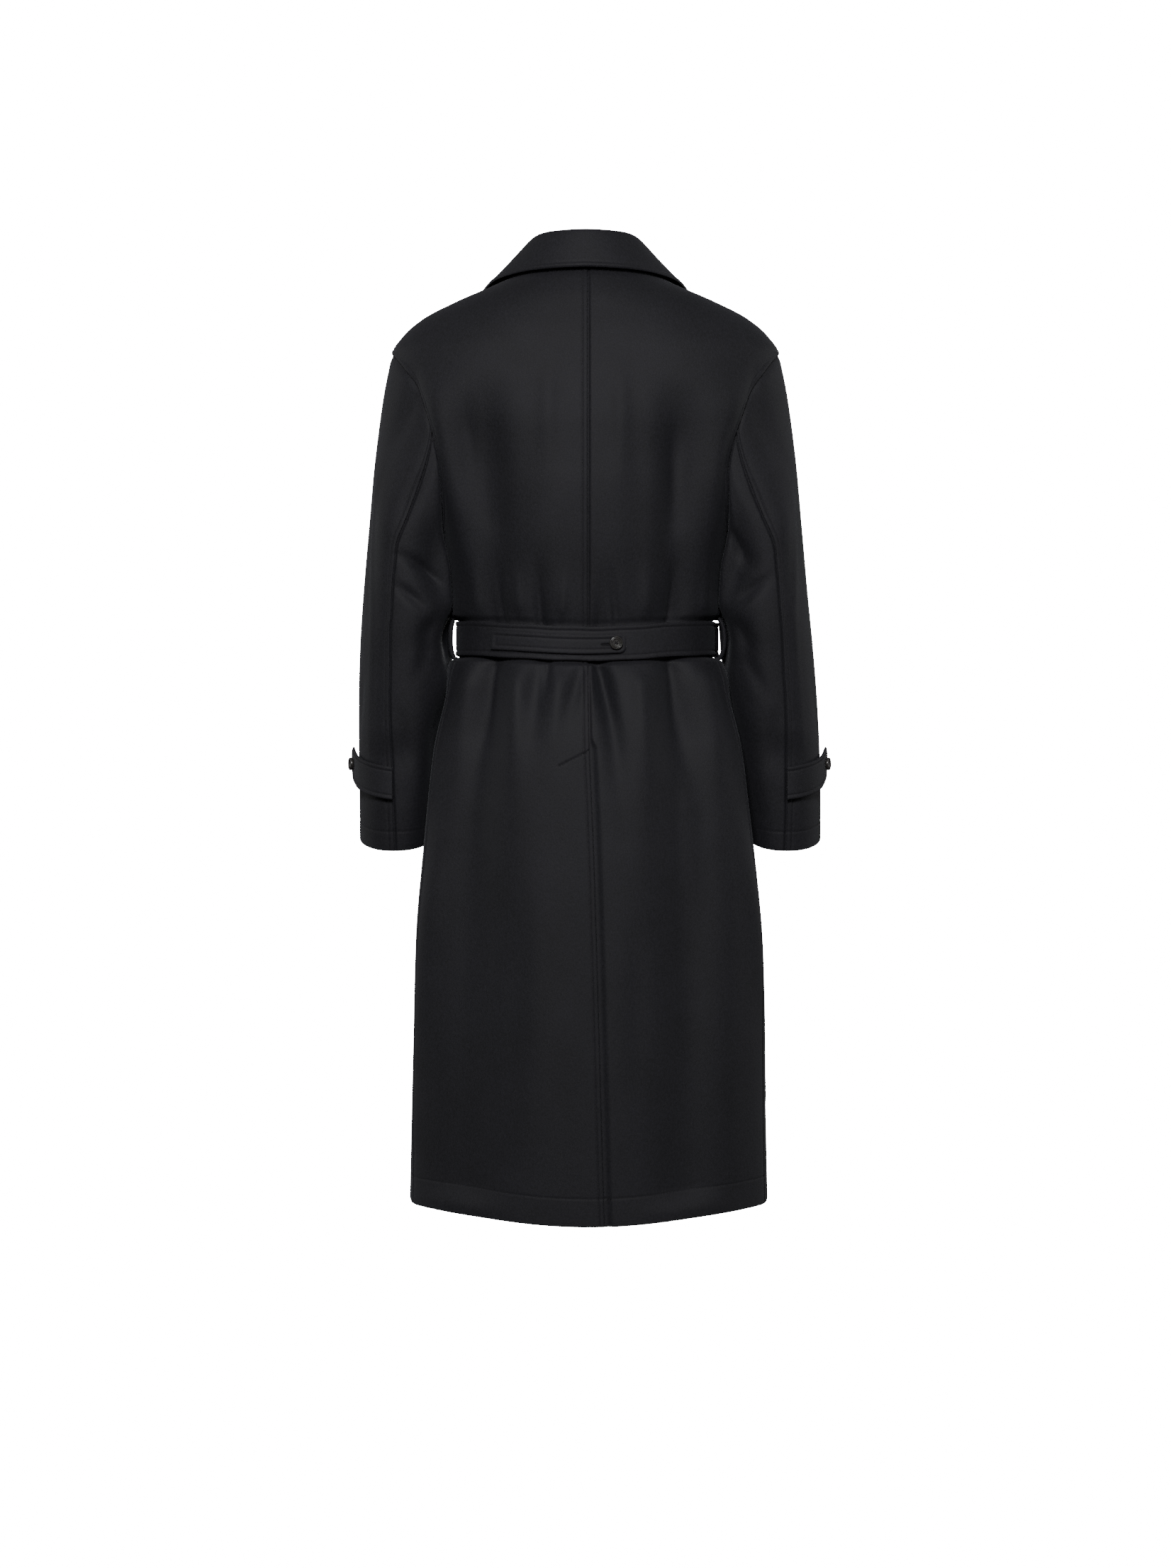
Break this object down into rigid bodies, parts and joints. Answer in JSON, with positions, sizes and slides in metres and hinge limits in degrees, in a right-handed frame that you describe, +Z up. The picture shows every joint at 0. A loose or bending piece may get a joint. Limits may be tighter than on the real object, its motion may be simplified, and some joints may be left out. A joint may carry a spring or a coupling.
{
  "type": "double-breasted coat",
  "caption": "Long double-breasted wool coat in its worn, hollow form, with a wide turn-down collar, a belted waist with a buttoned back strap, sleeve tabs and a centre-back vent.",
  "frame": {"origin": "middle of the neck's base, where the coat rests on the wearer's shoulders", "axes": "+Z up, -Y towards the coat's front, +X towards the wearer's left"},
  "size_m": [0.629, 0.3396, 1.2576],
  "materials": {
    "black_wool": "milled black wool coating with a short soft nap",
    "black_horn": "polished black horn-like plastic"
  },
  "bodies": {
    "root": {"back_left": "black_wool", "back_right": "black_wool", "front_left": "black_wool", "front_right": "black_wool", "lapel_left": "black_wool", "lapel_right": "black_wool", "collar": "black_wool", "sleeve_left_top": "black_wool", "sleeve_left_under": "black_wool", "sleeve_right_top": "black_wool", "sleeve_right_under": "black_wool", "sleeve_tab_left": "black_wool", "sleeve_tab_right": "black_wool", "belt": "black_wool", "belt_strap": "black_wool", "belt_loop_left": "black_wool", "belt_loop_right": "black_wool", "pocket_welt_left": "black_wool", "pocket_welt_right": "black_wool", "button_belt_back": "black_horn", "button_belt_front": "black_horn", "button_tab_left": "black_horn", "button_tab_right": "black_horn", "button_front_1_left": "black_horn", "button_front_1_right": "black_horn", "button_front_2_left": "black_horn", "button_front_2_right": "black_horn", "button_front_3_left": "black_horn", "button_front_3_right": "black_horn"}
  },
  "joints": []
}
